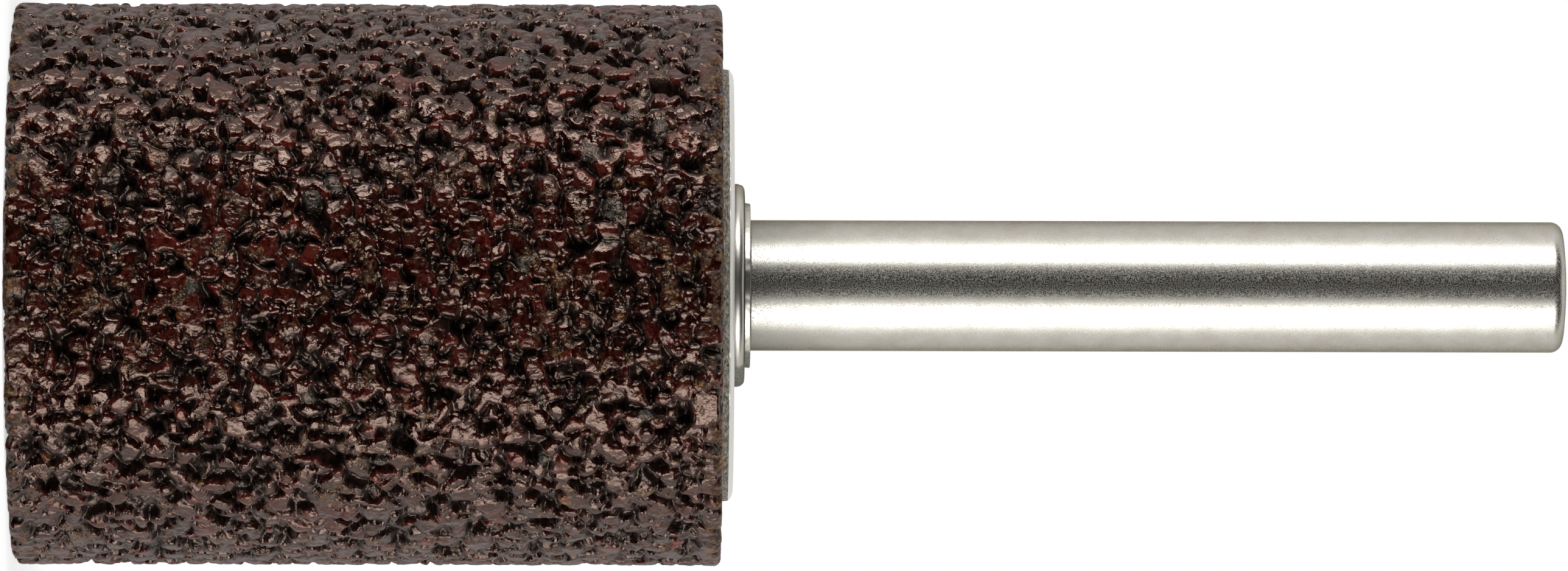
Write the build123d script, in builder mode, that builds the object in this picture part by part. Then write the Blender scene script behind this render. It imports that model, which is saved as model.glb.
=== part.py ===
"""Mounted abrasive drum: a coarse resin bonded cylinder on a plain steel shank.

Millimetres. +Z runs along the shank. The origin is the centre of the drum's free end,
and the part stands on that end.
"""
import math
import os
import random

from build123d import *

# Abrasive drum: one moulded body with a blind hole for the shank.
drum_diameter = 25.8
drum_length = 32.4
drum_rim_chamfer = 0.35
bore_diameter = 8.0
bore_depth = 21.0

# Open pores of the drum's skin: each is the pit left between three grain faces.
pore_pitch = 2.9
pore_depths = (0.45, 0.95)
pore_tilt = 24.0
pore_jitter = 0.35
pore_tool_size = 2.6
pore_seed = 4
face_pore_margin = 1.2

# Backing washer: a blanked disc with a rolled edge on the shank side.
washer_diameter = 19.95
washer_thickness = 0.52
washer_burr = 0.08
washer_roll_height = 0.2
washer_roll_width = 0.55
washer_clearance = 0.1

# Shank: one cold headed piece with a collar and a die step.
shank_diameter = 6.0
shank_reach = 38.8
collar_diameter = 9.33
collar_thickness = 0.53
collar_chamfer = 0.2
step_diameter = 7.55
step_thickness = 0.26
tip_dome_radius = 20.0
tip_chamfer = 0.3

# Seams left on the collar where the two heading dies met.
seam_angle = -13.0
seam_width_angle = 50.0
seam_rise = 0.45
seam_bite = 0.1

# Root of the shank, held by cement in the drum.
root_length = 20.0
root_groove_count = 1
root_groove_pitch = 10.0
root_groove_depth = 0.35
root_groove_width = 0.9
root_chamfer = 0.5

# Levels along the axis, measured from the drum's free end.
washer_level = drum_length
collar_level = washer_level + washer_thickness
step_level = collar_level + collar_thickness
shank_level = step_level + step_thickness
tip_level = drum_length + shank_reach
root_level = drum_length - root_length
bore_level = drum_length - bore_depth

drum_radius = drum_diameter / 2
bore_radius = bore_diameter / 2
washer_radius = washer_diameter / 2
shank_radius = shank_diameter / 2
collar_radius = collar_diameter / 2
step_radius = step_diameter / 2

full_turn = 360
golden_angle = full_turn * (2 - (1 + math.sqrt(5)) / 2)

chance = random.Random(pore_seed)

# Turns a cube that has one corner at the origin until it stands on that corner.
corner_tip_angle = math.degrees(math.atan(math.sqrt(2)))
corner_down = Location((0, 0, 0), (0, -corner_tip_angle, 0)) * Location((0, 0, 0), (0, 0, -45))


def pore(point, outward):
    """Place of a cube whose corner digs the pit: sunk from a skin point, tilted and spun."""
    depth = chance.uniform(*pore_depths)
    spin = chance.uniform(0, full_turn)
    tilts = (chance.uniform(-pore_tilt, pore_tilt), chance.uniform(-pore_tilt, pore_tilt))
    skin = Location(Plane(point, z_dir=outward))
    return skin * Location((0, 0, -depth), (*tilts, spin)) * corner_down


def wall_pores():
    """Pores on the drum's wall, from end to end along a golden angle spiral."""
    count = round(math.pi * drum_diameter * drum_length / pore_pitch**2)
    places = []
    for index in range(count):
        angle = math.radians(index * golden_angle)
        level = (index + 0.5) * drum_length / count + chance.uniform(-pore_jitter, pore_jitter)
        outward = Vector(math.cos(angle), math.sin(angle), 0)
        places.append(pore(outward * drum_radius + Vector(0, 0, level), outward))
    return places


def face_pores(level, inner_radius, outward):
    """Pores on a flat end of the drum, outside an inner radius, in a sunflower pattern."""
    outer_radius = drum_radius - face_pore_margin
    count = round(math.pi * (outer_radius**2 - inner_radius**2) / pore_pitch**2)
    places = []
    for index in range(count):
        share = (index + 0.5) / count
        radius = math.sqrt(inner_radius**2 + share * (outer_radius**2 - inner_radius**2))
        angle = math.radians(index * golden_angle)
        places.append(pore(Vector(radius * math.cos(angle), radius * math.sin(angle), level), outward))
    return places


# Abrasive drum: a round blank with both rims broken, bored from the shank side and pored.
pores = wall_pores()
pores += face_pores(0, 0, Vector(0, 0, -1))
pores += face_pores(drum_length, washer_radius + face_pore_margin, Vector(0, 0, 1))

with BuildPart() as abrasive_drum:
    with BuildSketch(Plane.XZ):
        with BuildLine():
            Polyline(
                (0, 0),
                (drum_radius, 0),
                (drum_radius, drum_length),
                (bore_radius, drum_length),
                (bore_radius, bore_level),
                (0, bore_level),
                close=True,
            )
        make_face()
    revolve(axis=Axis.Z)
    rims = abrasive_drum.edges().filter_by(GeomType.CIRCLE).group_by(SortBy.RADIUS)[-1]
    chamfer(rims, drum_rim_chamfer)
    with Locations(*pores):
        Box(pore_tool_size, pore_tool_size, pore_tool_size, align=(Align.MIN,) * 3, mode=Mode.SUBTRACT)

# Backing washer: slightly wider where the burr faces the drum, rolled over at the other edge.
washer_hole_radius = shank_radius + washer_clearance
roll_start = (washer_radius - washer_burr, collar_level - washer_roll_height)
roll_end = (washer_radius - washer_roll_width, collar_level)

with BuildPart() as backing_washer:
    with BuildSketch(Plane.XZ):
        with BuildLine():
            Polyline(
                roll_end,
                (washer_hole_radius, collar_level),
                (washer_hole_radius, washer_level),
                (washer_radius, washer_level),
                roll_start,
            )
            TangentArc(roll_end, roll_start, tangent=(1, 0))
        make_face()
    revolve(axis=Axis.Z)

# Shank: turned outline from the embedded root to the domed tip, in one revolve.
tip_rim_level = tip_level - tip_dome_radius + math.sqrt(tip_dome_radius**2 - shank_radius**2)
groove_half = root_groove_width / 2

root_outline = [(0, root_level), (shank_radius - root_chamfer, root_level)]
root_outline.append((shank_radius, root_level + root_chamfer))
for groove in range(root_groove_count):
    groove_level = root_level + root_groove_pitch * (groove + 1)
    root_outline.append((shank_radius, groove_level - groove_half))
    root_outline.append((shank_radius - root_groove_depth, groove_level))
    root_outline.append((shank_radius, groove_level + groove_half))

with BuildPart() as shank:
    with BuildSketch(Plane.XZ):
        with BuildLine():
            Polyline(
                *root_outline,
                (shank_radius, collar_level),
                (collar_radius, collar_level),
                (collar_radius, step_level),
                (step_radius, step_level),
                (step_radius, shank_level),
                (shank_radius, shank_level),
                (shank_radius, tip_rim_level),
            )
            RadiusArc((shank_radius, tip_rim_level), (0, tip_level), -tip_dome_radius)
            Line((0, tip_level), (0, root_level))
        make_face()
    revolve(axis=Axis.Z)
    collar_rims = shank.edges().filter_by_position(Axis.Z, step_level, step_level)
    chamfer(collar_rims.sort_by(SortBy.RADIUS)[-1], collar_chamfer)
    tip_rim = shank.edges().filter_by_position(Axis.Z, tip_rim_level, tip_rim_level)
    chamfer(tip_rim, tip_chamfer)
    for half_turn in (0, full_turn / 2):
        seam_start = seam_angle + half_turn - seam_width_angle / 2
        with BuildSketch(Plane.XZ.rotated((0, 0, seam_start))):
            Polygon(
                (step_radius - seam_bite, step_level - seam_bite),
                (step_radius + seam_rise, step_level - seam_bite),
                (step_radius + seam_rise, step_level),
                (step_radius, shank_level),
                (step_radius - seam_bite, shank_level),
                align=None,
            )
        revolve(axis=Axis.Z, revolution_arc=seam_width_angle)

# Cement: fills the blind hole round the root, so it takes the root's shape from the shank.
with BuildPart() as shank_cement:
    with BuildSketch(Plane.XY.offset(bore_level)):
        Circle(bore_radius)
    extrude(amount=bore_depth)
    add(shank.part, mode=Mode.SUBTRACT)

abrasive_drum.part.label = "abrasive_drum"
backing_washer.part.label = "backing_washer"
shank.part.label = "shank"
shank_cement.part.label = "shank_cement"

os.makedirs("parts", exist_ok=True)
export_step(abrasive_drum.part, "parts/abrasive_drum.step")
export_step(backing_washer.part, "parts/backing_washer.step")
export_step(shank.part, "parts/shank.step")
export_step(shank_cement.part, "parts/shank_cement.step")
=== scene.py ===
"""Looks of the mounted abrasive drum: a skin of resin coated grains, a blanked washer and a
plated shank.

Lengths in the tables below are millimetres. Blender objects are in metres, in the frame of the
CAD model: +Z runs from the drum's free end to the shank's tip, and the part stands on that end.
"""

import math
import random

import bpy
import numpy as np
from mathutils import Matrix, Vector


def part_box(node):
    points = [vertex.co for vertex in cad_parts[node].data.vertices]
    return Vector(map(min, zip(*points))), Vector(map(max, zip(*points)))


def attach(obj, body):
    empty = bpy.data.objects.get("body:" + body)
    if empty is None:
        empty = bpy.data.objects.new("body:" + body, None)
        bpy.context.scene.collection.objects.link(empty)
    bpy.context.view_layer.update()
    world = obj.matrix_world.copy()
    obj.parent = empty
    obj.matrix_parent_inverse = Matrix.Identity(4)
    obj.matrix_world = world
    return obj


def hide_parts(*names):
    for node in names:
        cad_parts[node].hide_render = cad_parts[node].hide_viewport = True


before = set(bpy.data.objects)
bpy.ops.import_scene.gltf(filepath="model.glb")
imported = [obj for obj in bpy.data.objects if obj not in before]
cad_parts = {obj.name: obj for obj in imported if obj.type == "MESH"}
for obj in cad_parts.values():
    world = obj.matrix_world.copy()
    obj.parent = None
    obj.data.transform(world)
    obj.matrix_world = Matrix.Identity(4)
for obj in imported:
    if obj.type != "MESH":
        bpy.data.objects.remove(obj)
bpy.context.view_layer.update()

MM = 0.001
FULL_TURN = 2 * math.pi

# Seeds: one for the skin's draws, and one for each thing that is drawn apart from them.
SEED = 20
SHANK_SEED = SEED + 1
WASHER_SEED = SEED + 2
SWAY_SEED = SEED + 3

# Sizes read from the CAD model.
drum_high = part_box("abrasive_drum")[1] / MM
washer_low, washer_high = (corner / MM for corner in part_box("backing_washer"))
shank_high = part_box("shank")[1] / MM
DRUM_R = drum_high.x
DRUM_L = drum_high.z
WASHER_R = washer_high.x
WASHER_Z = washer_low.z
COLLAR_R = shank_high.x
COLLAR_Z = washer_high.z
TIP_Z = shank_high.z

# Sizes that the boxes do not give, as in the CAD model.
SHANK_R = 3.0
COLLAR_T = 0.53
STEP_R = 3.775
STEP_T = 0.26
DOME_R = 20.0
SEAM_ANGLE = math.radians(-13)
SEAM_HALF = math.radians(25)
WASHER_BURR = 0.08
WASHER_ROLL_H = 0.2
WASHER_ROLL_W = 0.55
WASHER_HOLE_R = 3.1
BORE_R = 4.0

# Camera: far off with a long lens, level with the object, turned so that the shank points right.
SHANK_PX = 214.5
PX_PER_MM = SHANK_PX / (2 * SHANK_R)
FRAME_W_PX = 2576
DRUM_END_PX = 27
CENTRE_PX = FRAME_W_PX / 2
ROLL = math.radians(0.15)
CAMERA_DISTANCE = 565.0
CAMERA_Z = 27.4
SENSOR = 36.0
CLIP_START = 0.01
CLIP_END = 20

# Grid of the drum's skin, its round rims, and where it ends under the washer.
COLUMNS = 928
ROW_STEP = 0.0875
RIM_ROUND = 0.3
FACE_INNER = 0.05
WASHER_COVER = 0.45
HEM_SINK = 0.02

# Rays along which heights are measured: how deep they meet, and how far down the skin may go.
RAY_DEPTH = 1.8
FLOOR_DEPTH = 1.5
STEEPEST = 0.25

# Softness where grains meet, where a grain's facets meet, and at the mould's wall.
BLEND = 0.03
FACET_BLEND = 0.014
MOULD_BLEND = 0.015

# Long bends and short kinks of the grains' faces: size and wavelength.
WARP = 0.05
WARP_LENGTH = 1.1
KINK = 0.014
KINK_LENGTH = 0.4
BEND_WAVES = 16
WAVE_SPREAD = (0.7, 1.5)


def even(start, stop):
    """Values from start to stop, about one row step apart."""
    return np.linspace(start, stop, round(abs(stop - start) / ROW_STEP) + 1)


def row_profile():
    """Rows of the skin from the free end's centre, round both rims, to the washer.

    Gives the r, z and outward normal of each row, and how many rows the free end has.
    """
    flat_r = DRUM_R - RIM_ROUND
    flat_z = DRUM_L - RIM_ROUND
    arc_count = round(RIM_ROUND * math.pi / 2 / ROW_STEP)
    arc = (np.arange(arc_count) + 0.5) / arc_count * math.pi / 2
    sine, cosine = np.sin(arc), np.cos(arc)
    face = even(FACE_INNER, flat_r)
    wall = even(RIM_ROUND, flat_z)
    back = even(flat_r, WASHER_R - WASHER_COVER)
    parts = (
        (face, 0, 0, -1),
        (flat_r + RIM_ROUND * sine, RIM_ROUND - RIM_ROUND * cosine, sine, -cosine),
        (DRUM_R, wall, 1, 0),
        (flat_r + RIM_ROUND * cosine, flat_z + RIM_ROUND * sine, cosine, sine),
        (back, DRUM_L, 0, 1),
    )
    rows = np.concatenate([np.stack(np.broadcast_arrays(*part)) for part in parts], axis=1)
    return *rows, len(face)


def turned(radial, axial, angles):
    """Points at some radii and heights, one row for each, turned to the angles."""
    x = radial * np.cos(angles)
    y = radial * np.sin(angles)
    return np.stack((x, y, np.broadcast_to(axial, x.shape)), axis=-1)


def waves(rng, points, wavelength, count):
    """Smooth noise of unit size: a sum of plane waves of about one length, running every way."""
    ways = rng.normal(size=(count, 3))
    ways /= np.linalg.norm(ways, axis=1)[:, None]
    lengths = wavelength * rng.uniform(*WAVE_SPREAD, count)
    phases = rng.uniform(0, FULL_TURN, count)
    total = np.zeros(points.shape[:-1])
    for way, length, phase in zip(ways, lengths, phases):
        total += np.sin(points @ (way * FULL_TURN / length) + phase)
    return total * math.sqrt(2 / count)


class Skin:
    """The drum's envelope as a grid of points, each with the ray along which its height runs."""

    def __init__(self, rng):
        self.r, self.z, self.nr, self.nz, self.face_rows = row_profile()
        self.angles = np.arange(COLUMNS) * FULL_TURN / COLUMNS
        self.base = turned(self.r[:, None], self.z[:, None], self.angles)
        ray_r = self.r - np.minimum(self.r, DRUM_R - RAY_DEPTH)
        ray_z = self.z - np.clip(self.z, RAY_DEPTH, DRUM_L - RAY_DEPTH)
        length = np.hypot(ray_r, ray_z)
        self.ray = turned((ray_r / length)[:, None], (ray_z / length)[:, None], self.angles)
        bends = [WARP * waves(rng, self.base, WARP_LENGTH, BEND_WAVES) for _ in range(3)]
        kinks = [KINK * waves(rng, self.base, KINK_LENGTH, BEND_WAVES) for _ in range(3)]
        self.warped = self.base + np.stack(bends, axis=-1) + np.stack(kinks, axis=-1)
        steps = np.hypot(np.diff(self.r), np.diff(self.z))
        self.run = np.concatenate(([0], np.cumsum(steps)))
        self.total = np.full(self.base.shape[:2], math.exp(-FLOOR_DEPTH / BLEND))
        self.best = np.full(self.base.shape[:2], -FLOOR_DEPTH)
        self.second = self.best.copy()
        self.tone = np.zeros(self.base.shape[:2])
        self.kind = np.zeros(self.base.shape[:2])

    def spot(self, row):
        """Radius, height and normal at a row given as a fraction."""
        index = np.arange(len(self.r))
        return [np.interp(row, index, values) for values in (self.r, self.z, self.nr, self.nz)]

    def window(self, row, angle, spot_r, reach):
        """Row slice and column numbers of the grid within reach of a spot."""
        rows = math.ceil(reach / ROW_STEP)
        low = max(0, int(row) - rows)
        high = min(len(self.r), int(row) + rows + 2)
        half = min(COLUMNS // 2, math.ceil(reach / max(spot_r, ROW_STEP) * COLUMNS / FULL_TURN))
        middle = round(angle / FULL_TURN * COLUMNS)
        columns = np.arange(middle - half, middle + half) % COLUMNS
        return slice(low, high), columns

    def press(self, row, angle, spot_r, shape, reach, tone, kind):
        """Adds one grain: the skin rises to it wherever it stands above what is there."""
        planes, offsets, centre, crown = shape
        rows, columns = self.window(row, angle, spot_r, reach)
        base = self.warped[rows][:, columns]
        ray = self.ray[rows][:, columns]
        rise = (offsets - base @ planes.T) / np.maximum(ray @ planes.T, STEEPEST)
        low = rise.min(axis=-1)
        facets = np.exp((low[..., None] - rise) / FACET_BLEND).sum(axis=-1)
        height = low - FACET_BLEND * np.log(facets)
        height -= crown * ((base - centre) ** 2).sum(axis=-1)
        patch = np.ix_(np.arange(rows.start, rows.stop), columns)
        self.total[patch] += np.exp(height / BLEND)
        best = self.best[patch]
        above = height > best
        self.second[patch] = np.maximum(self.second[patch], np.minimum(height, best))
        self.best[patch] = np.maximum(height, best)
        self.tone[patch] = np.where(above, tone, self.tone[patch])
        self.kind[patch] = np.where(above, kind, self.kind[patch])


# Open pores, placed by the CAD model's own rule: a spiral on the wall, sunflowers on both ends.
PORE_PITCH = 2.9
PORE_DEPTHS = (0.45, 0.95)
PORE_JITTER = 0.35
PORE_TURNS = 3
PORE_SEED = 4
FACE_PORE_MARGIN = 1.2
PORE_ROOM = 0.5
GOLDEN_ANGLE = FULL_TURN * (2 - (1 + math.sqrt(5)) / 2)


def open_pores():
    """Middle and width of each open pore, with the same draws as in the CAD model."""
    chance = random.Random(PORE_SEED)

    def width():
        depth = chance.uniform(*PORE_DEPTHS)
        for _ in range(PORE_TURNS):
            chance.random()
        return PORE_ROOM * depth

    pores = []
    count = round(math.pi * 2 * DRUM_R * DRUM_L / PORE_PITCH**2)
    for index in range(count):
        angle = index * GOLDEN_ANGLE
        level = (index + 0.5) * DRUM_L / count + chance.uniform(-PORE_JITTER, PORE_JITTER)
        pores.append((DRUM_R * math.cos(angle), DRUM_R * math.sin(angle), level, width()))
    outer = DRUM_R - FACE_PORE_MARGIN
    for level, inner in ((0, 0), (DRUM_L, WASHER_R + FACE_PORE_MARGIN)):
        count = round(math.pi * (outer**2 - inner**2) / PORE_PITCH**2)
        for index in range(count):
            radius = math.sqrt(inner**2 + (index + 0.5) / count * (outer**2 - inner**2))
            angle = index * GOLDEN_ANGLE
            pores.append((radius * math.cos(angle), radius * math.sin(angle), level, width()))
    return pores


# Shape of one grain: a stretched outline, a tilted top, bevels and steep sides. Slopes are from
# the top, and spans are shares of the grain's half width.
STRETCHES = (1.0, 2.1)
TOP_TILT = math.radians(12)
BEVEL_COUNTS = (1, 5)
BEVEL_SLOPES = (math.radians(16), math.radians(48))
BEVEL_SPANS = (0.3, 0.85)
SIDE_COUNTS = (4, 8)
SIDE_JITTER = 0.35
SIDE_SLOPES = (math.radians(60), math.radians(76))
SIDE_SPANS = (0.74, 1.0)
CROWNS = (0.0, 0.22)

# The facet that the mould's wall presses on a grain: its tilt and how far it lies below the wall.
FLUSH_TILT = math.radians(7.5)
FLUSH_SINK = 0.02

# How far a grain's top lies below the mould's wall: most touch it, some fell short.
RECESSES = ((-0.12, 0.03), (0.0, 0.12), (0.12, 0.45))
RECESS_SHARES = (0.68, 0.2, 0.12)


def skin_frame(spot, angle):
    """A point of the envelope, its outward normal and the two directions along the skin."""
    r, z, nr, nz = spot
    centre = np.array((r * math.cos(angle), r * math.sin(angle), z))
    normal = np.array((nr * math.cos(angle), nr * math.sin(angle), nz))
    normal /= np.linalg.norm(normal)
    along = np.array((-math.sin(angle), math.cos(angle), 0.0))
    return centre, normal, along, np.cross(normal, along)


def grain_shape(rng, spot, angle, radius, recess):
    """Planes of one faceted grain and their offsets, its middle and its crown."""
    centre, normal, along, across = skin_frame(spot, angle)
    stretch = rng.uniform(*STRETCHES)
    turn = rng.uniform(0, math.pi)
    sides = rng.integers(*SIDE_COUNTS)
    bevels = rng.integers(*BEVEL_COUNTS)
    jitter = rng.uniform(-SIDE_JITTER, SIDE_JITTER, sides)
    side_turns = (np.arange(sides) + jitter) * FULL_TURN / sides
    turns = np.concatenate((rng.uniform(0, FULL_TURN, bevels), side_turns))
    slopes = np.concatenate((rng.uniform(*BEVEL_SLOPES, bevels), rng.uniform(*SIDE_SLOPES, sides)))
    spans = np.concatenate((rng.uniform(*BEVEL_SPANS, bevels), rng.uniform(*SIDE_SPANS, sides)))
    long_half = radius * math.sqrt(stretch)
    short_half = radius / math.sqrt(stretch)
    spans *= np.hypot(long_half * np.cos(turns - turn), short_half * np.sin(turns - turn))
    ways = np.cos(turns)[:, None] * along + np.sin(turns)[:, None] * across
    tilt = rng.normal(0, TOP_TILT, 2)
    top = normal + tilt[0] * along + tilt[1] * across
    planes = np.vstack((
        top / np.linalg.norm(top),
        np.cos(slopes)[:, None] * normal + np.sin(slopes)[:, None] * ways,
    ))
    points = centre - recess * normal + np.vstack((np.zeros(3), spans[:, None] * ways))
    offsets = (planes * points).sum(axis=1)
    flush = normal + rng.normal(0, FLUSH_TILT, 2) @ np.vstack((along, across))
    flush /= np.linalg.norm(flush)
    wall = centre - abs(rng.normal(0, FLUSH_SINK)) * normal
    planes = np.vstack((planes, flush))
    return planes, np.append(offsets, flush @ wall), centre, rng.uniform(*CROWNS)


def recess_of(rng):
    """How far the top of a grain of the outer layer lies below the mould's wall."""
    return rng.choice([rng.uniform(*span) for span in RECESSES], p=RECESS_SHARES)


# Kinds of grain: most are coated, a few are bare, and small amber drops gather at both ends.
COATED, BARE, AMBER = 0.0, 0.5, 1.0
BARE_SHARE = 0.03
BARE_LARGEST = 0.42
AMBER_SHARE = 0.03
AMBER_EDGE_SHARE = 0.12
AMBER_EDGE = 1.0
AMBER_LARGEST = 0.2


def kind_of(rng, height, radius):
    """The kind of a grain at some height on the drum."""
    edge = min(height, DRUM_L - height) < AMBER_EDGE
    share = rng.random()
    if radius < AMBER_LARGEST and share < (AMBER_EDGE_SHARE if edge else AMBER_SHARE):
        return AMBER
    if radius < BARE_LARGEST and share > 1 - BARE_SHARE:
        return BARE
    return COATED


# The outer layer, from the largest grains to the smallest: radius, and tries per square mm.
GRAIN_CLASSES = (
    (0.66, 0.05),
    (0.56, 0.4),
    (0.47, 1.6),
    (0.38, 4.0),
    (0.30, 7.0),
    (0.22, 10.0),
    (0.16, 8.0),
)
GRAIN_SIZES = (0.8, 1.2)
CROWD = 0.98
CELL = 2.4 * GRAIN_CLASSES[0][0]

# The looser layer beneath it.
UNDER_CLASS = (0.4, 2.4)
UNDER_SIZES = (0.7, 1.3)
UNDER_DEPTHS = (0.3, 0.9)

# How far from its middle a grain can touch the skin: a share of its radius, and a margin.
GRAIN_REACH = (1.35, 0.45)
UNDER_REACH = (1.3, 0.3)


def candidates(rng, skin, share):
    """Random places all over the skin, as (row, angle): so many tries per square mm."""
    weights = skin.r * np.gradient(skin.run)
    count = round(FULL_TURN * weights.sum() * share)
    rows = rng.choice(len(skin.r), count, p=weights / weights.sum())
    rows = rows + rng.uniform(-0.5, 0.5, count)
    return zip(rows, rng.uniform(0, FULL_TURN, count))


def scatter_under(rng, skin):
    """Presses the looser layer, where grains may overlap."""
    size, share = UNDER_CLASS
    for row, angle in candidates(rng, skin, share):
        spot = skin.spot(row)
        radius = size * rng.uniform(*UNDER_SIZES)
        shape = grain_shape(rng, spot, angle, radius, rng.uniform(*UNDER_DEPTHS))
        kind = kind_of(rng, spot[1], radius)
        reach = radius * UNDER_REACH[0] + UNDER_REACH[1]
        skin.press(row, angle, spot[0], shape, reach, rng.random(), kind)


def has_room(taken, home, point, radius):
    """Whether a grain stays clear of what is in its own cell and the cells round it."""
    near = [
        other
        for dx in (-1, 0, 1)
        for dy in (-1, 0, 1)
        for dz in (-1, 0, 1)
        for other in taken.get((home[0] + dx, home[1] + dy, home[2] + dz), ())
    ]
    if not near:
        return True
    others = np.array(near)
    gap = np.linalg.norm(others[:, :3] - point, axis=1) - CROWD * (others[:, 3] + radius)
    return gap.min() >= 0


def scatter_outer(rng, skin):
    """Packs the outer layer round the open pores without much overlap, large grains first."""
    taken = {}
    for x, y, z, width in open_pores():
        taken.setdefault((x // CELL, y // CELL, z // CELL), []).append((x, y, z, width))
    for size, share in GRAIN_CLASSES:
        for row, angle in candidates(rng, skin, share):
            spot = skin.spot(row)
            radius = size * rng.uniform(*GRAIN_SIZES)
            point = np.array((spot[0] * math.cos(angle), spot[0] * math.sin(angle), spot[1]))
            home = tuple(point // CELL)
            if not has_room(taken, home, point, radius):
                continue
            taken.setdefault(home, []).append((*point, radius))
            shape = grain_shape(rng, spot, angle, radius, recess_of(rng))
            reach = radius * GRAIN_REACH[0] + GRAIN_REACH[1]
            tone = rng.random()
            skin.press(row, angle, spot[0], shape, reach, tone, kind_of(rng, spot[1], radius))


# Seams between grains: how deep and wide, how much their depth sways, and the shallowest.
SEAM_DEPTH = 0.15
SEAM_SPREAD = 0.055
SEAM_SWAY = 0.5
SEAM_SWAY_LENGTH = 1.6
SEAM_LEAST = 0.04

# Ripples of the resin.
RIPPLE = 0.011
RIPPLE_LENGTH = 0.42
RIPPLE_WAVES = 40

# The mould's wall, which no grain passes: how far it lies inside the envelope, and its waves.
MOULD_SINK = 0.02
MOULD_WAVE = 0.012
MOULD_WAVE_LENGTH = 0.75
MOULD_WAVES = 24
MOULD_LEAST = 0.002


def softened(heights):
    """Rounds the heights with a small binomial filter, wrapping round the axis."""
    heights = (np.roll(heights, 1, axis=1) + 4 * heights + np.roll(heights, -1, axis=1)) / 6
    padded = np.pad(heights, ((1, 1), (0, 0)), mode="edge")
    return (padded[:-2] + 4 * padded[1:-1] + padded[2:]) / 6


def grid_normals(points):
    """Outward normals of a grid that wraps along its columns."""
    across = np.roll(points, -1, axis=1) - np.roll(points, 1, axis=1)
    down = np.gradient(points, axis=0)
    normals = np.cross(across, down)
    return normals / np.maximum(np.linalg.norm(normals, axis=-1), 1e-12)[..., None]


def drum_surface():
    """The finished skin: the grid with its looks, and its points, normals and heights."""
    rng = np.random.default_rng(SEED)
    skin = Skin(rng)
    scatter_under(rng, skin)
    scatter_outer(rng, skin)
    own = np.random.default_rng(SWAY_SEED)
    sway = SEAM_SWAY * waves(own, skin.base, SEAM_SWAY_LENGTH, BEND_WAVES)
    seam = np.maximum(SEAM_DEPTH * (1 + sway), SEAM_LEAST)
    heights = BLEND * np.log(skin.total)
    heights = heights - seam * np.exp((skin.second - skin.best) / SEAM_SPREAD)
    heights += RIPPLE * waves(rng, skin.base, RIPPLE_LENGTH, RIPPLE_WAVES)
    mould = -MOULD_SINK + MOULD_WAVE * waves(rng, skin.base, MOULD_WAVE_LENGTH, MOULD_WAVES)
    mould = np.minimum(mould, -MOULD_LEAST)
    heights = -MOULD_BLEND * np.logaddexp(-heights / MOULD_BLEND, -mould / MOULD_BLEND)
    heights = np.minimum(softened(heights), 0)
    points = skin.base + skin.ray * heights[..., None]
    return skin, points, grid_normals(points), heights


def new_object(name, vertices, faces, looks, normals=None, uv=None):
    """A mesh object from arrays in millimetres, smooth shaded, riding on the root."""
    sides = faces.shape[1]
    mesh = bpy.data.meshes.new(name)
    mesh.vertices.add(len(vertices))
    mesh.vertices.foreach_set("co", (vertices * MM).astype(np.float32).ravel())
    mesh.loops.add(faces.size)
    mesh.loops.foreach_set("vertex_index", faces.astype(np.int32).ravel())
    mesh.polygons.add(len(faces))
    starts = np.arange(0, faces.size, sides, dtype=np.int32)
    mesh.polygons.foreach_set("loop_start", starts)
    if uv is not None:
        layer = mesh.uv_layers.new(name="OFBake")
        layer.uv.foreach_set("vector", uv[faces.ravel()].astype(np.float32).ravel())
    mesh.update(calc_edges=True)
    mesh.polygons.foreach_set("use_smooth", np.ones(len(faces), dtype=bool))
    layer = mesh.attributes.new("grain", "FLOAT_COLOR", "POINT")
    colours = np.ones((len(vertices), 4), dtype=np.float32)
    colours[:, :3] = looks
    layer.data.foreach_set("color", colours.ravel())
    if normals is not None:
        mesh.normals_split_custom_set_from_vertices(normals.astype(np.float32))
    obj = bpy.data.objects.new(name, mesh)
    bpy.context.scene.collection.objects.link(obj)
    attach(obj, "root")
    return obj


# Pieces of the skin and the margins of their bake maps.
WALL_PIECES = 5
MAP_MARGIN = 0.01
END_MAP_WIDTH = 2.04


def grid_piece(name, rows, columns, points, normals, looks):
    """One patch of the skin grid as an object with its own bake map."""
    height, width = len(rows), len(columns)
    patch = np.ix_(rows, columns % COLUMNS)
    index = np.arange(height * width).reshape(height, width)
    corners = (index[:-1, :-1], index[:-1, 1:], index[1:, 1:], index[1:, :-1])
    quads = np.stack(corners, axis=-1).reshape(-1, 4)
    across, down = np.meshgrid(
        np.linspace(MAP_MARGIN, 1 - MAP_MARGIN, width),
        np.linspace(MAP_MARGIN, 1 - MAP_MARGIN, height),
    )
    return new_object(
        name,
        points[patch].reshape(-1, 3),
        quads,
        looks[patch].reshape(-1, 3),
        normals[patch].reshape(-1, 3),
        np.stack((across, down), axis=-1).reshape(-1, 2),
    )


def ring_faces(outer, inner):
    """Triangles between two rings of points, where the inner ring has as many points or half."""
    outer_next = np.roll(outer, -1)
    inner_next = np.roll(inner, -1)
    if len(outer) == len(inner):
        return [
            np.stack((outer, inner, outer_next), axis=-1),
            np.stack((outer_next, inner, inner_next), axis=-1),
        ]
    over, between = outer[::2], outer[1::2]
    return [
        np.stack((over, inner, between), axis=-1),
        np.stack((between, inner, inner_next), axis=-1),
        np.stack((between, inner_next, np.roll(over, -1)), axis=-1),
    ]


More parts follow.
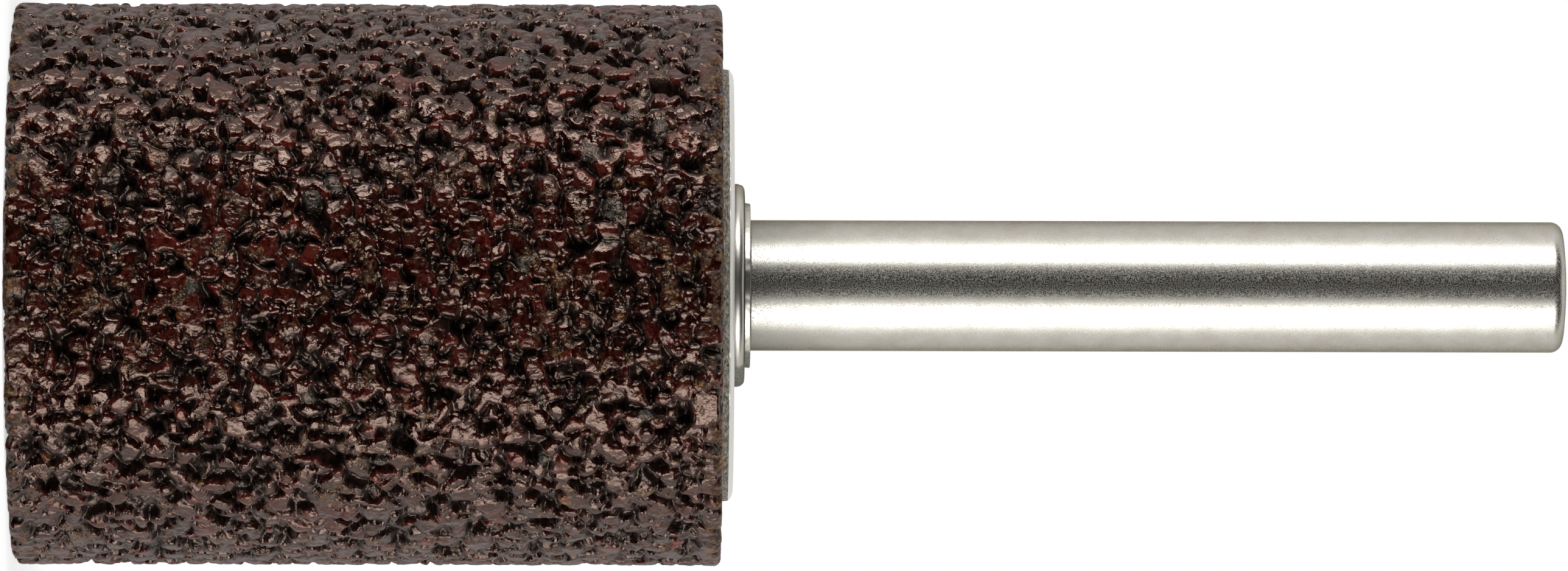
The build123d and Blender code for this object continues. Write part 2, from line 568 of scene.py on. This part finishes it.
def face_piece(name, rows, points, normals, looks, radius):
    """The free end: rings that hold fewer points towards the centre, closed by a fan."""
    step = 1
    vertices, shades, colours, faces, rings = [], [], [], [], []
    count = 0
    for row in rows[::-1]:
        spacing = radius[row] * FULL_TURN / COLUMNS
        while COLUMNS % (2 * step) == 0 and spacing * step < ROW_STEP / 2:
            step *= 2
        columns = np.arange(0, COLUMNS, step)
        vertices.append(points[row, columns])
        shades.append(normals[row, columns])
        colours.append(looks[row, columns])
        rings.append(count + np.arange(len(columns)))
        count += len(columns)
    for outer, inner in zip(rings, rings[1:]):
        faces += ring_faces(outer, inner)
    vertices.append(points[rows[0]].mean(axis=0)[None])
    shades.append(np.array([[0.0, 0.0, -1.0]]))
    colours.append(looks[rows[0], :1])
    last = rings[-1]
    faces.append(np.stack((last, np.full(len(last), count), np.roll(last, -1)), axis=-1))
    vertices = np.vstack(vertices)
    uv = vertices[:, :2] / (END_MAP_WIDTH * DRUM_R) + 0.5
    return new_object(name, vertices, np.vstack(faces), np.vstack(colours), np.vstack(shades), uv)


def build_drum(material):
    """The skin as a few wall pieces and its free end; under the washer it runs on to the bore."""
    skin, points, normals, heights = drum_surface()
    # Tone and kind of grain, and depth, which the material darkens as painted shade.
    looks = np.stack((skin.tone, skin.kind, np.clip(-heights / FLOOR_DEPTH, 0, 1)), axis=-1)
    hem = turned(np.array([[BORE_R]]), DRUM_L - HEM_SINK, skin.angles)
    points = np.concatenate((points, hem))
    normals = np.concatenate((normals, np.broadcast_to((0.0, 0.0, 1.0), hem.shape)))
    looks = np.concatenate((looks, looks[-1:]))
    split = skin.face_rows - 1
    wall_rows = np.arange(split, len(points))
    edges = np.linspace(0, COLUMNS, WALL_PIECES + 1).round().astype(int)
    made = []
    for number, (start, stop) in enumerate(zip(edges, edges[1:]), 1):
        columns = np.arange(start, stop + 1)
        name = f"grain_wall_{number}"
        made.append(grid_piece(name, wall_rows, columns, points, normals, looks))
    made.append(face_piece("grain_end", np.arange(split + 1), points, normals, looks, skin.r))
    for piece in made:
        piece.data.materials.append(material)
        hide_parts("abrasive_drum")


# Turned pieces: points round them, and the angle from which an edge stays sharp.
SHANK_SEGMENTS = 224
WASHER_SEGMENTS = 512
SHARP = math.radians(35)


def lathe(name, profile, segments, wobble, marks):
    """A turned solid from (r, z) points that start and end on the axis."""
    profile = np.array(profile)
    inner = profile[1:-1]
    rows = len(inner)
    angles = np.arange(segments) * FULL_TURN / segments
    radial = np.repeat(inner[:, :1], segments, axis=1)
    axial = np.repeat(inner[:, 1:], segments, axis=1)
    radial = wobble(radial, axial, angles)
    points = turned(radial, axial, angles)
    index = np.arange(rows * segments).reshape(rows, segments)
    after = np.roll(index, -1, axis=1)
    start, end = rows * segments, rows * segments + 1
    faces = np.vstack((
        np.stack((index[:-1], after[:-1], after[1:]), axis=-1).reshape(-1, 3),
        np.stack((index[:-1], after[1:], index[1:]), axis=-1).reshape(-1, 3),
        np.stack((np.full(segments, start), after[0], index[0]), axis=-1),
        np.stack((np.full(segments, end), index[-1], after[-1]), axis=-1),
    ))
    ends = np.array(((0, 0, profile[0, 1]), (0, 0, profile[-1, 1])))
    vertices = np.vstack((points.reshape(-1, 3), ends))
    looks = np.vstack((marks(radial, axial, angles).reshape(-1, 3), np.zeros((2, 3))))
    obj = new_object(name, vertices, faces, looks)
    obj.data.set_sharp_from_angle(angle=SHARP)
    return obj


def arc_points(centre, radius, start, stop, count):
    """Points of an arc in the (r, z) plane, angles in degrees from +r towards +z."""
    angles = np.radians(np.linspace(start, stop, count))
    return [(centre[0] + radius * math.cos(a), centre[1] + radius * math.sin(a)) for a in angles]


def straight(start, stop, count):
    """Points from start up to, but without, stop."""
    start, stop = np.array(start), np.array(stop)
    return [tuple(start + (stop - start) * i / count) for i in range(count)]


def fading(inside, width):
    """One well inside a border, falling to zero over a width at it."""
    return np.clip(inside / width, 0, 1)


# Edges of the shank, rounder than the CAD model's, and the fillet where it leaves the step.
COLLAR_ROUND = 0.34
TIP_ROUND = 0.55
EDGE = 0.05
FILLET_Z = 0.04
NEAR = 0.01

# Marks of the heading dies: how the seams end, the rough band beside the step, and the bumps.
SEAM_FADE = math.radians(2)
DIE_BAND = 0.25
SEAM_BITE = 0.012
STEP_BITE = 0.006
DIE_LENGTH = 0.35
DIE_WAVES = 24

# Painted shade in the corners of collar, step and shank, and the smooth face of the collar.
SHADE_REACH = 0.1
FOOT_FADE = 0.06
CREST_FADE = 0.08
ROOT_SHADE = 0.6
COLLAR_SMOOTH = 0.8
CLEAR_OF_SHANK = 0.3


def seam_mask(angles):
    """One near either die seam, falling to zero past its edges."""
    away = np.abs((angles - SEAM_ANGLE + math.pi / 2) % math.pi - math.pi / 2)
    return fading(SEAM_HALF - away, SEAM_FADE)


def shank_profile(collar_top, step_top):
    """Outline of collar, step and plain shank with a domed, rounded tip."""
    dome_centre = TIP_Z - DOME_R
    corner_r = SHANK_R - TIP_ROUND
    corner_z = dome_centre + math.sqrt((DOME_R - TIP_ROUND) ** 2 - corner_r**2)
    dome_start = math.degrees(math.atan2(corner_z - dome_centre, corner_r))
    rim = (COLLAR_R - COLLAR_ROUND, collar_top - COLLAR_ROUND)
    profile = [(0, COLLAR_Z), (SHANK_R, COLLAR_Z), (COLLAR_R - EDGE, COLLAR_Z)]
    profile += arc_points((COLLAR_R - EDGE, COLLAR_Z + EDGE), EDGE, -60, 0, 3)
    profile += arc_points(rim, COLLAR_ROUND, 0, 90, 9)
    profile += straight((STEP_R + DIE_BAND, collar_top), (STEP_R, collar_top), 3)
    profile += [(STEP_R, collar_top), (STEP_R, step_top - EDGE)]
    profile += arc_points((STEP_R - EDGE, step_top - EDGE), EDGE, 30, 90, 3)
    profile += [(SHANK_R + EDGE, step_top)]
    profile += straight((SHANK_R, step_top + FILLET_Z), (SHANK_R, corner_z), 8)
    profile += arc_points((corner_r, corner_z), TIP_ROUND, 0, dome_start, 9)
    profile += arc_points((0, dome_centre), DOME_R, dome_start + 0.5, 90, 9)
    return profile


def build_shank(material):
    """The headed shank, with rough die seams and painted shade in its corners."""
    collar_top = COLLAR_Z + COLLAR_T
    step_top = collar_top + STEP_T

    def wobble(radial, axial, angles):
        rng = np.random.default_rng(SHANK_SEED)
        rough = waves(rng, turned(radial, axial, angles), DIE_LENGTH, DIE_WAVES)
        headed = (axial > COLLAR_Z + NEAR) & (axial < step_top + NEAR)
        headed &= radial > SHANK_R + 2 * EDGE
        step = headed & (axial > collar_top - NEAR) & (radial < STEP_R + DIE_BAND + NEAR)
        seam = seam_mask(angles) * (SEAM_BITE * rough - SEAM_BITE)
        radial = radial + np.where(headed, seam, 0)
        radial = radial + np.where(step, STEP_BITE * rough, 0)
        return np.minimum(radial, COLLAR_R)

    def marks(radial, axial, angles):
        wide = radial > SHANK_R + CLEAR_OF_SHANK
        collar = (axial < step_top - 2 * NEAR) & wide
        # Painted shade: dark lines at the collar's foot, along its upper rim and at the shank's
        # root.
        foot = wide * fading(COLLAR_Z + SHADE_REACH - axial, FOOT_FADE)
        crest = (radial > STEP_R + EDGE) * fading(axial - collar_top + SHADE_REACH, CREST_FADE)
        root = (radial < SHANK_R + EDGE + NEAR) * (axial > step_top - NEAR)
        root = root * fading(step_top + SHADE_REACH - axial, CREST_FADE)
        corner_shade = np.maximum(np.maximum(foot, crest), ROOT_SHADE * root)
        return np.stack((collar * seam_mask(angles), corner_shade, COLLAR_SMOOTH * collar), axis=-1)

    profile = shank_profile(collar_top, step_top)
    obj = lathe("steel_shank", profile, SHANK_SEGMENTS, wobble, marks)
    obj.data.materials.append(material)
    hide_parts("shank")


# The washer's sheared edge: where its rings start, its slant, and its torn lower part.
EDGE_RINGS = 1.2
SHEAR_SLANT = 0.03
TORN_SHARE = 0.62
TORN_BAND = 0.12
TORN_BITE = 0.01
TORN_ROUGH = 0.007
TORN_LENGTH = 0.45
TORN_STRETCH = 3
TORN_WAVES = 32
TORN_FADE = 0.06
TORN_EDGE = 0.2


def build_washer(material):
    """Blanked disc: sheared edge with a torn lower part, a burnished band and a rolled corner."""
    top = COLLAR_Z
    low = WASHER_Z
    torn_top = low + TORN_SHARE * (top - low)
    roll_r = WASHER_R - WASHER_BURR
    roll_z = top - WASHER_ROLL_H
    sheared = (WASHER_R - SHEAR_SLANT, low)
    profile = [(0, low), (WASHER_HOLE_R, low)]
    profile += straight((WASHER_R - EDGE_RINGS, low), sheared, 6)
    profile += straight(sheared, (roll_r, roll_z), 9)
    sag = (WASHER_ROLL_W - WASHER_BURR) ** 2 + WASHER_ROLL_H**2
    roll_radius = sag / (2 * WASHER_ROLL_H)
    roll_centre = (WASHER_R - WASHER_ROLL_W, top - roll_radius)
    start = math.degrees(math.atan2(roll_z - roll_centre[1], roll_r - roll_centre[0]))
    profile += arc_points(roll_centre, roll_radius, start, 90, 9)
    profile += [(WASHER_HOLE_R, top), (WASHER_HOLE_R, low + NEAR), (0, low + NEAR)]

    def wobble(radial, axial, angles):
        rng = np.random.default_rng(WASHER_SEED)
        points = turned(radial, TORN_STRETCH * axial, angles)
        rough = TORN_ROUGH * waves(rng, points, TORN_LENGTH, TORN_WAVES)
        torn = (radial > WASHER_R - TORN_BAND) & (axial < torn_top)
        return np.minimum(radial + np.where(torn, rough - TORN_BITE, 0), WASHER_R)

    def marks(radial, axial, angles):
        values = np.zeros(radial.shape + (3,))
        values[..., 0] = (radial > WASHER_R - TORN_EDGE) * fading(torn_top - axial, TORN_FADE)
        return values

    obj = lathe("steel_washer", profile, WASHER_SEGMENTS, wobble, marks)
    obj.data.materials.append(material)
    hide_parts("backing_washer")


def grey(value):
    return (value, value, value)


class Nodes:
    """Small helper that adds nodes to one material and links them."""

    def __init__(self, name):
        self.material = bpy.data.materials.new(name)
        self.material.use_nodes = True
        self.tree = self.material.node_tree
        self.shader = self.tree.nodes["Principled BSDF"]
        self.place = self.add("ShaderNodeTexCoord").outputs["Object"]

    def add(self, kind, **settings):
        node = self.tree.nodes.new(kind)
        for key, value in settings.items():
            setattr(node, key, value)
        return node

    def link(self, source, target):
        self.tree.links.new(source, target)

    def scaled(self, x, y, z):
        """Object coordinates times a scale each way, per millimetre."""
        node = self.add("ShaderNodeMapping")
        node.inputs["Scale"].default_value = (x / MM, y / MM, z / MM)
        self.link(self.place, node.inputs["Vector"])
        return node.outputs["Vector"]

    def noise(self, vector, scale, detail=3.0, roughness=0.6):
        node = self.add("ShaderNodeTexNoise")
        node.inputs["Scale"].default_value = scale
        node.inputs["Detail"].default_value = detail
        node.inputs["Roughness"].default_value = roughness
        self.link(vector, node.inputs["Vector"])
        return node.outputs["Fac"]

    def cells(self, vector, scale):
        """Small rounded cells: distance from the middle of each, and a random tone for each."""
        node = self.add("ShaderNodeTexVoronoi")
        node.inputs["Scale"].default_value = scale
        self.link(vector, node.inputs["Vector"])
        parts = self.add("ShaderNodeSeparateColor")
        self.link(node.outputs["Color"], parts.inputs["Color"])
        return self.math("SUBTRACT", 1, node.outputs["Distance"]), parts.outputs["Red"]

    def ramp(self, value, *stops):
        """Colours at stops along a value, each stop a (position, colour) pair."""
        node = self.add("ShaderNodeValToRGB")
        elements = node.color_ramp.elements
        while len(elements) < len(stops):
            elements.new(0.5)
        for element, (position, colour) in zip(elements, stops):
            element.position = position
            element.color = (*colour, 1)
        self.link(value, node.inputs["Fac"])
        return node.outputs["Color"]

    def fade(self, value, start, stop, low=0.0, high=1.0):
        """A grey that goes from low to high while the value goes from start to stop."""
        return self.ramp(value, (start, grey(low)), (stop, grey(high)))

    def math(self, operation, first, second):
        node = self.add("ShaderNodeMath", operation=operation)
        for socket, value in zip(node.inputs, (first, second)):
            if isinstance(value, (int, float)):
                socket.default_value = value
            else:
                self.link(value, socket)
        return node.outputs[0]

    def mix(self, share, first, second):
        """The first colour, or as much of the second as the share says."""
        node = self.add("ShaderNodeMix", data_type="RGBA")
        self.link(share, node.inputs[0])
        for socket, value in zip((node.inputs[6], node.inputs[7]), (first, second)):
            if isinstance(value, tuple):
                socket.default_value = (*value, 1)
            else:
                self.link(value, socket)
        return node.outputs[2]

    def bump(self, height, distance, strength=None, under=None):
        """A bump of a height in millimetres, over another one, with its strength from a socket."""
        node = self.add("ShaderNodeBump")
        node.inputs["Strength"].default_value = 1.0
        node.inputs["Distance"].default_value = distance * MM
        self.link(height, node.inputs["Height"])
        if strength is not None:
            self.link(strength, node.inputs["Strength"])
        if under is not None:
            self.link(under, node.inputs["Normal"])
        return node.outputs["Normal"]

    def split(self, name):
        """The three channels of a colour attribute."""
        attribute = self.add("ShaderNodeAttribute", attribute_name=name)
        parts = self.add("ShaderNodeSeparateColor")
        self.link(attribute.outputs["Color"], parts.inputs["Color"])
        return parts.outputs


# How far the crumbs reach from either rim, and the darkest resin.
RIM_CRUMBS = 1.1
DARK_RESIN = (0.006, 0.0003, 0.0002)


def grain_material():
    """Grains under glassy dark red resin, with crumbs of grit in patches and along both rims."""
    n = Nodes("resin_coated_grain")
    tone, kind, depth = n.split("grain")
    place = n.scaled(1, 1, 1)
    mottle = n.noise(place, 1.6, 5, 0.7)
    fine = n.noise(place, 6.0)
    haze = n.noise(place, 3.2, 4, 0.65)
    drift = n.noise(place, 0.5, 2)
    bits, bit_tone = n.cells(place, 8.5)

    # Where the rims, crumbs, bare grains, amber drops and deep hollows are.
    height = n.add("ShaderNodeSeparateXYZ")
    n.link(place, height.inputs[0])
    low_rim = n.math("SUBTRACT", RIM_CRUMBS, height.outputs["Z"])
    high_rim = n.math("SUBTRACT", height.outputs["Z"], DRUM_L - RIM_CRUMBS)
    rim = n.math("MAXIMUM", n.math("MAXIMUM", low_rim, high_rim), 0)
    is_bare = n.math("GREATER_THAN", kind, (COATED + BARE) / 2)
    is_amber = n.math("GREATER_THAN", kind, (BARE + AMBER) / 2)
    patches = n.math("ADD", n.noise(place, 0.9, 4, 0.65), n.math("MULTIPLY", rim, 0.1))
    crumbs = n.math("MAXIMUM", n.fade(patches, 0.545, 0.615), is_bare)
    tan = n.math("MULTIPLY", n.fade(n.noise(place, 1.5), 0.56, 0.66), rim)
    # Painted shade: the colour darkens where the skin lies deep between grains.
    deep_shade = n.fade(depth, 0.06, 0.18)

    # Colours.
    coated = n.ramp(
        tone,
        (0.0, (0.005, 0.0002, 0.0001)),
        (0.45, (0.021, 0.0007, 0.0004)),
        (0.85, (0.057, 0.0017, 0.001)),
        (1.0, (0.125, 0.0034, 0.0016)),
    )
    coated = n.mix(n.fade(mottle, 0.4, 0.64, 0, 0.85), coated, (0.052, 0.0085, 0.0045))
    coated = n.mix(n.fade(haze, 0.4, 0.56, 0.75, 0), coated, DARK_RESIN)
    coated = n.mix(n.fade(drift, 0.38, 0.56, 0.7, 0), coated, DARK_RESIN)
    grit = n.ramp(
        bit_tone,
        (0.0, (0.006, 0.002, 0.001)),
        (0.45, (0.024, 0.006, 0.003)),
        (0.75, (0.055, 0.026, 0.011)),
        (0.9, (0.08, 0.06, 0.035)),
        (1.0, (0.24, 0.09, 0.015)),
    )
    grit = n.mix(tan, grit, n.ramp(fine, (0.35, (0.05, 0.02, 0.006)), (0.65, (0.3, 0.16, 0.06))))
    stone = n.ramp(bit_tone, (0.3, (0.004, 0.004, 0.003)), (0.95, (0.06, 0.058, 0.048)))
    amber = n.ramp(
        fine,
        (0.4, (0.04, 0.005, 0.001)),
        (0.55, (0.12, 0.035, 0.006)),
        (0.75, (0.32, 0.14, 0.03)),
    )
    colour = n.mix(is_amber, n.mix(is_bare, n.mix(crumbs, coated, grit), stone), amber)
    # Painted shade in the hollows between grains, darker the deeper they lie.
    colour = n.mix(deep_shade, colour, (0.0015, 0.0001, 0.0001))
    n.link(colour, n.shader.inputs["Base Color"])

    # Gloss: glassy resin, rougher crumbs and pores, and rougher still at grazing angles.
    sheen = n.math("ADD", n.math("MULTIPLY", haze, 0.5), n.math("MULTIPLY", fine, 0.35))
    sheen = n.math("ADD", sheen, n.math("MULTIPLY", tone, 0.15))
    rough = n.fade(sheen, 0.38, 0.62, 0.14, 0.31)
    rough = n.mix(crumbs, rough, n.fade(rim, 0, 0.8, 0.36, 0.8))
    rough = n.mix(deep_shade, rough, grey(0.36))
    graze = n.add("ShaderNodeLayerWeight").outputs["Facing"]
    rough = n.mix(n.fade(graze, 0.5, 0.85), rough, grey(0.55))
    n.link(rough, n.shader.inputs["Roughness"])
    n.shader.inputs["IOR"].default_value = 1.6
    n.shader.inputs["Specular Tint"].default_value = (1.0, 0.71, 0.58, 1)

    # Wrinkles of the resin, and the crumbs' own grain.
    wrinkles = n.bump(n.noise(place, 2.6, 2, 0.5), 0.09)
    wrinkles = n.bump(fine, 0.009, under=wrinkles)
    n.link(n.bump(bits, 0.028, crumbs, wrinkles), n.shader.inputs["Normal"])
    return n.material


def shank_material():
    """Tumbled plated steel: satin, peppered with fine rough pits, and dull where the dies met."""
    n = Nodes("plated_steel")
    seam, shade, smooth = n.split("grain")
    place = n.scaled(1, 1, 1)
    pits = n.noise(place, 19.0, 3, 0.7)
    cloud = n.noise(place, 1.1, 4)
    scratches = n.noise(n.scaled(9, 9, 0.35), 1.0, 1)
    colour = n.ramp(cloud, (0.35, (0.47, 0.445, 0.395)), (0.65, (0.52, 0.5, 0.455)))
    patch = n.ramp(pits, (0.35, (0.12, 0.12, 0.105)), (0.7, (0.4, 0.4, 0.36)))
    # Painted shade: the corners of collar, step and shank are darkened.
    colour = n.mix(shade, colour, (0.12, 0.125, 0.11))
    n.link(n.mix(seam, colour, patch), n.shader.inputs["Base Color"])
    n.shader.inputs["Metallic"].default_value = 1.0
    n.shader.inputs["Specular Tint"].default_value = (0.28, 0.26, 0.2, 1)
    rough = n.fade(pits, 0.48, 0.6, 0.27, 0.58)
    rough = n.mix(n.fade(scratches, 0.7, 0.74, 0, 0.35), rough, grey(0.6))
    rough = n.mix(smooth, rough, grey(0.34))
    n.link(n.mix(seam, rough, grey(0.6)), n.shader.inputs["Roughness"])
    n.link(n.bump(pits, 0.003), n.shader.inputs["Normal"])
    return n.material


def washer_material():
    """Cold rolled sheet: satin faces, a burnished band and a torn, mottled part of the edge."""
    n = Nodes("blanked_steel")
    torn = n.split("grain")[0]
    place = n.scaled(1, 1, 1)
    streaks = n.noise(n.scaled(1, 1, 2.4), 4.5, 5, 0.75)
    stain = n.noise(place, 1.2)
    fine = n.noise(place, 14.0, 3, 0.7)
    sheet = n.ramp(fine, (0.3, (0.66, 0.64, 0.59)), (0.7, (0.78, 0.76, 0.71)))
    edge = n.ramp(
        streaks,
        (0.38, (0.03, 0.024, 0.016)),
        (0.5, (0.21, 0.19, 0.15)),
        (0.64, (0.42, 0.4, 0.35)),
    )
    edge = n.mix(n.fade(stain, 0.45, 0.65, 0, 0.4), edge, (0.12, 0.085, 0.05))
    torn = n.fade(n.math("ADD", torn, n.math("MULTIPLY", streaks, 0.8)), 0.7, 0.95)
    n.link(n.mix(torn, sheet, edge), n.shader.inputs["Base Color"])
    n.shader.inputs["Metallic"].default_value = 0.4
    n.link(n.mix(torn, grey(0.36), grey(0.62)), n.shader.inputs["Roughness"])
    n.link(n.bump(streaks, 0.03, torn, n.bump(fine, 0.004)), n.shader.inputs["Normal"])
    return n.material


def cement_material():
    """Cured cement, hidden in the drum's bore."""
    n = Nodes("cured_cement")
    fine = n.noise(n.scaled(1, 1, 1), 3.0, 4)
    colour = n.ramp(fine, (0.3, (0.36, 0.34, 0.3)), (0.7, (0.5, 0.48, 0.44)))
    n.link(colour, n.shader.inputs["Base Color"])
    n.link(n.fade(fine, 0.3, 0.7, 0.7, 0.9), n.shader.inputs["Roughness"])
    return n.material


# Soft boxes: (side, from angle, to angle, radiance), angles in degrees from the front. Each has
# a plane of its own, because gloss shows only one of two lamps that share a plane.
LAMPS = (
    (-1, 42, 88, 1.1),
    (-1, 45, 78, 1.6),
    (-1, 48, 66, 8.2),
    (1, 22, 88, 0.8),
    (1, 30, 84, 0.9),
    (1, 36, 78, 1.2),
    (1, 42, 62, 5.5),
)
LAMP_DISTANCE = 450.0
LAMP_STAGGER = 6.0
LAMP_HALF_RISE = math.radians(20)
LAMP_TARGET_Z = 35

# Light of the white world on the object.
FILL = 0.3

# Dark cloth round the camera's side, which only gloss sees.
FLAG_RADIUS = 2500.0
FLAG_HALF_HEIGHT = 3 * FLAG_RADIUS
FLAG_HALF = math.radians(88)
FLAG_POINTS = 33
FLAG_TONE = 0.006

# Floor: its reach and paper, and its glow for the camera from one distance (m) to another.
FLOOR_REACH = 3000.0
PAPER = 0.85
# The glow is less near the part: painted shade round it.
FLOOR_FADE = {"From Min": 0.03, "From Max": 0.14, "To Min": 0.6, "To Max": 0.77}


def build_lamp(number, side, near, far, radiance):
    """A soft box on the +X or -X side that fills the angles from near to far."""
    half = math.radians((far - near) / 2)
    angle = math.radians((far + near) / 2)
    distance = LAMP_DISTANCE - LAMP_STAGGER * number
    target = Vector((0, 0, LAMP_TARGET_Z)) * MM
    place = target + Vector((side * math.sin(angle), -math.cos(angle), 0)) * distance * MM
    data = bpy.data.lights.new(f"soft_box_{number}", "AREA")
    data.shape = "RECTANGLE"
    data.size = 2 * distance * math.tan(half) * MM
    data.size_y = 2 * distance * math.tan(LAMP_HALF_RISE) * MM
    data.energy = radiance * math.pi * data.size * data.size_y
    obj = bpy.data.objects.new(data.name, data)
    bpy.context.scene.collection.objects.link(obj)
    obj.location = place
    obj.rotation_euler = (target - place).to_track_quat("-Z", "Y").to_euler()
    obj.visible_camera = False


def white_for_sight(tree, other, white):
    """White for what the camera, gloss and glass see, and the other shader for other light."""
    ray = tree.nodes.new("ShaderNodeLightPath")
    seen = ray.outputs["Is Camera Ray"]
    for kind in ("Is Glossy Ray", "Is Transmission Ray"):
        both = tree.nodes.new("ShaderNodeMath")
        both.operation = "MAXIMUM"
        tree.links.new(seen, both.inputs[0])
        tree.links.new(ray.outputs[kind], both.inputs[1])
        seen = both.outputs[0]
    choose = tree.nodes.new("ShaderNodeMixShader")
    tree.links.new(seen, choose.inputs[0])
    tree.links.new(other, choose.inputs[1])
    tree.links.new(white, choose.inputs[2])
    return choose.outputs[0]


def coloured(tree, kind, colour):
    """A shader of one colour: the node's output."""
    node = tree.nodes.new(kind)
    node.inputs["Color"].default_value = (*colour, 1)
    return node.outputs[0]


def build_world():
    """White wherever it is seen, directly or in a reflection, and a softer grey as a light."""
    world = bpy.data.worlds.new("studio")
    bpy.context.scene.world = world
    world.use_nodes = True
    tree = world.node_tree
    tree.nodes.clear()
    output = tree.nodes.new("ShaderNodeOutputWorld")
    white = coloured(tree, "ShaderNodeBackground", grey(1))
    fill = coloured(tree, "ShaderNodeBackground", grey(FILL))
    tree.links.new(white_for_sight(tree, fill, white), output.inputs["Surface"])


def studio_object(name, points, faces, material_name):
    """A mesh of the studio from points in millimetres, and the empty node tree of its material."""
    mesh = bpy.data.meshes.new(name)
    mesh.from_pydata([tuple(c * MM for c in point) for point in points], [], faces)
    obj = bpy.data.objects.new(name, mesh)
    bpy.context.scene.collection.objects.link(obj)
    material = bpy.data.materials.new(material_name)
    material.use_nodes = True
    material.node_tree.nodes.clear()
    mesh.materials.append(material)
    return obj, material.node_tree


def build_flag():
    """Dark cloth on the camera's side of the studio, which steel shows as a dark stripe."""
    angles = np.linspace(-FLAG_HALF, FLAG_HALF, FLAG_POINTS)
    across = [(-FLAG_RADIUS * math.sin(a), -FLAG_RADIUS * math.cos(a)) for a in angles]
    points = [(x, y, z) for z in (-FLAG_HALF_HEIGHT, FLAG_HALF_HEIGHT) for x, y in across]
    count = len(across)
    faces = [(i, i + 1, count + i + 1, count + i) for i in range(count - 1)]
    cloth, tree = studio_object("dark_cloth", points, faces, "dark_cloth")
    output = tree.nodes.new("ShaderNodeOutputMaterial")
    glow = coloured(tree, "ShaderNodeEmission", grey(FLAG_TONE))
    tree.links.new(glow, output.inputs["Surface"])
    cloth.visible_camera = False
    cloth.visible_diffuse = False
    cloth.visible_shadow = False


def floor_glow(tree):
    """White light from the floor, less near the part as painted shade, so that its shadow shows.
    """
    place = tree.nodes.new("ShaderNodeTexCoord")
    away = tree.nodes.new("ShaderNodeVectorMath")
    away.operation = "LENGTH"
    tree.links.new(place.outputs["Object"], away.inputs[0])
    fade = tree.nodes.new("ShaderNodeMapRange")
    for socket, value in FLOOR_FADE.items():
        fade.inputs[socket].default_value = value
    tree.links.new(away.outputs["Value"], fade.inputs["Value"])
    glow = coloured(tree, "ShaderNodeEmission", grey(1))
    tree.links.new(fade.outputs["Result"], glow.node.inputs["Strength"])
    return glow


def build_floor():
    """A pale floor that takes the object's shadow and runs into the white background."""
    r = FLOOR_REACH
    corners = [(-r, -r, 0), (r, -r, 0), (r, r, 0), (-r, r, 0)]
    floor, tree = studio_object("floor", corners, [(0, 1, 2, 3)], "floor_paper")
    output = tree.nodes.new("ShaderNodeOutputMaterial")
    paper = coloured(tree, "ShaderNodeBsdfDiffuse", grey(PAPER))
    both = tree.nodes.new("ShaderNodeAddShader")
    tree.links.new(paper, both.inputs[0])
    tree.links.new(floor_glow(tree), both.inputs[1])
    tree.links.new(white_for_sight(tree, paper, both.outputs[0]), output.inputs["Surface"])
    floor.visible_glossy = False


def build_camera():
    """Level camera at the photograph's distance, rolled so that +Z points right and -X up."""
    data = bpy.data.cameras.new("camera")
    camera = bpy.data.objects.new("camera", data)
    bpy.context.scene.collection.objects.link(camera)
    centre_z = (CENTRE_PX - DRUM_END_PX) / PX_PER_MM
    eye = Vector((0, -CAMERA_DISTANCE, CAMERA_Z)) * MM
    aim = Vector((0, 0, centre_z)) * MM
    forward = (aim - eye).normalized()
    right = Vector((0, 0, 1))
    right = (right - right.dot(forward) * forward).normalized()
    up = right.cross(forward)
    turn = Matrix((right, up, -forward)).transposed() @ Matrix.Rotation(ROLL, 3, "Z")
    camera.matrix_world = Matrix.Translation(eye) @ turn.to_4x4()
    data.sensor_width = SENSOR
    distance = (aim - eye).length / MM
    data.lens = distance * PX_PER_MM * SENSOR / FRAME_W_PX
    data.clip_start = CLIP_START
    data.clip_end = CLIP_END
    bpy.context.scene.camera = camera


bpy.context.scene.view_settings.view_transform = "Standard"
build_camera()
build_world()
for number, lamp in enumerate(LAMPS, 1):
    build_lamp(number, *lamp)
build_flag()
build_floor()
build_drum(grain_material())
build_washer(washer_material())
build_shank(shank_material())
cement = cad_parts["shank_cement"]
cement.data.materials.clear()
cement.data.materials.append(cement_material())
